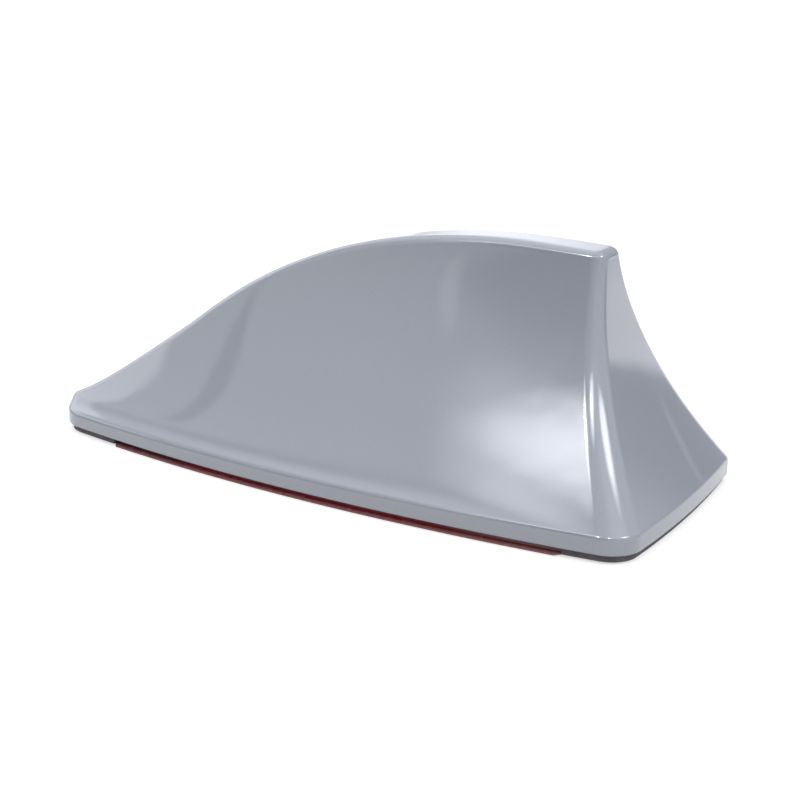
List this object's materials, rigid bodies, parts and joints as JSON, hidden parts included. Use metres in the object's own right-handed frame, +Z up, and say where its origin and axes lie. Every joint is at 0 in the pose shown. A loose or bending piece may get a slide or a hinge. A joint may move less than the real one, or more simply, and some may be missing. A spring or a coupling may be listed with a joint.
{
  "type": "shark fin roof aerial",
  "caption": "Stick-on car roof aerial: a glossy flared fin housing on a foam pad and adhesive tape, with a receiving coil, amplifier board and cable outlet inside.",
  "frame": {"origin": "middle of the footprint on the face that is stuck to the roof (underside of the release liner)", "axes": "+X from the nose to the tail, +Y to the right of someone who faces the way the nose points, +Z up from the roof; right handed"},
  "size_m": [0.17, 0.071, 0.06],
  "materials": {
    "shell_paint": "gloss grey paint on moulded plastic",
    "base_plastic": "fine grained moulding",
    "screw_steel": "zinc plated",
    "seal_rubber": "matt",
    "board": "green solder mask",
    "coil_brass": "bright drawn wire",
    "former_plastic": "natural moulded",
    "chip_tan": "ceramic",
    "chip_black": "matt moulded",
    "tinned": "tinned",
    "foam": "closed cell foam",
    "tape": "acrylic foam edge stained by the film",
    "liner_film": "glossy red film"
  },
  "bodies": {
    "root": {"fin_shell": "shell_paint", "base_plate": "base_plastic", "base_screws": "screw_steel", "base_seal": "seal_rubber", "cable_grommet": "seal_rubber", "circuit_board": "board", "board_screws": "screw_steel", "aerial_coil": "coil_brass", "coil_former": "former_plastic", "chip_capacitors": "chip_tan", "chip_resistors": "chip_black", "amplifier_transistors": "chip_black", "filter_coils": "coil_brass", "cable_posts": "tinned", "coil_solder": "tinned", "foam_pad": "foam", "tape_left": "tape", "tape_right": "tape", "liner_left": "liner_film", "liner_right": "liner_film"}
  },
  "joints": []
}
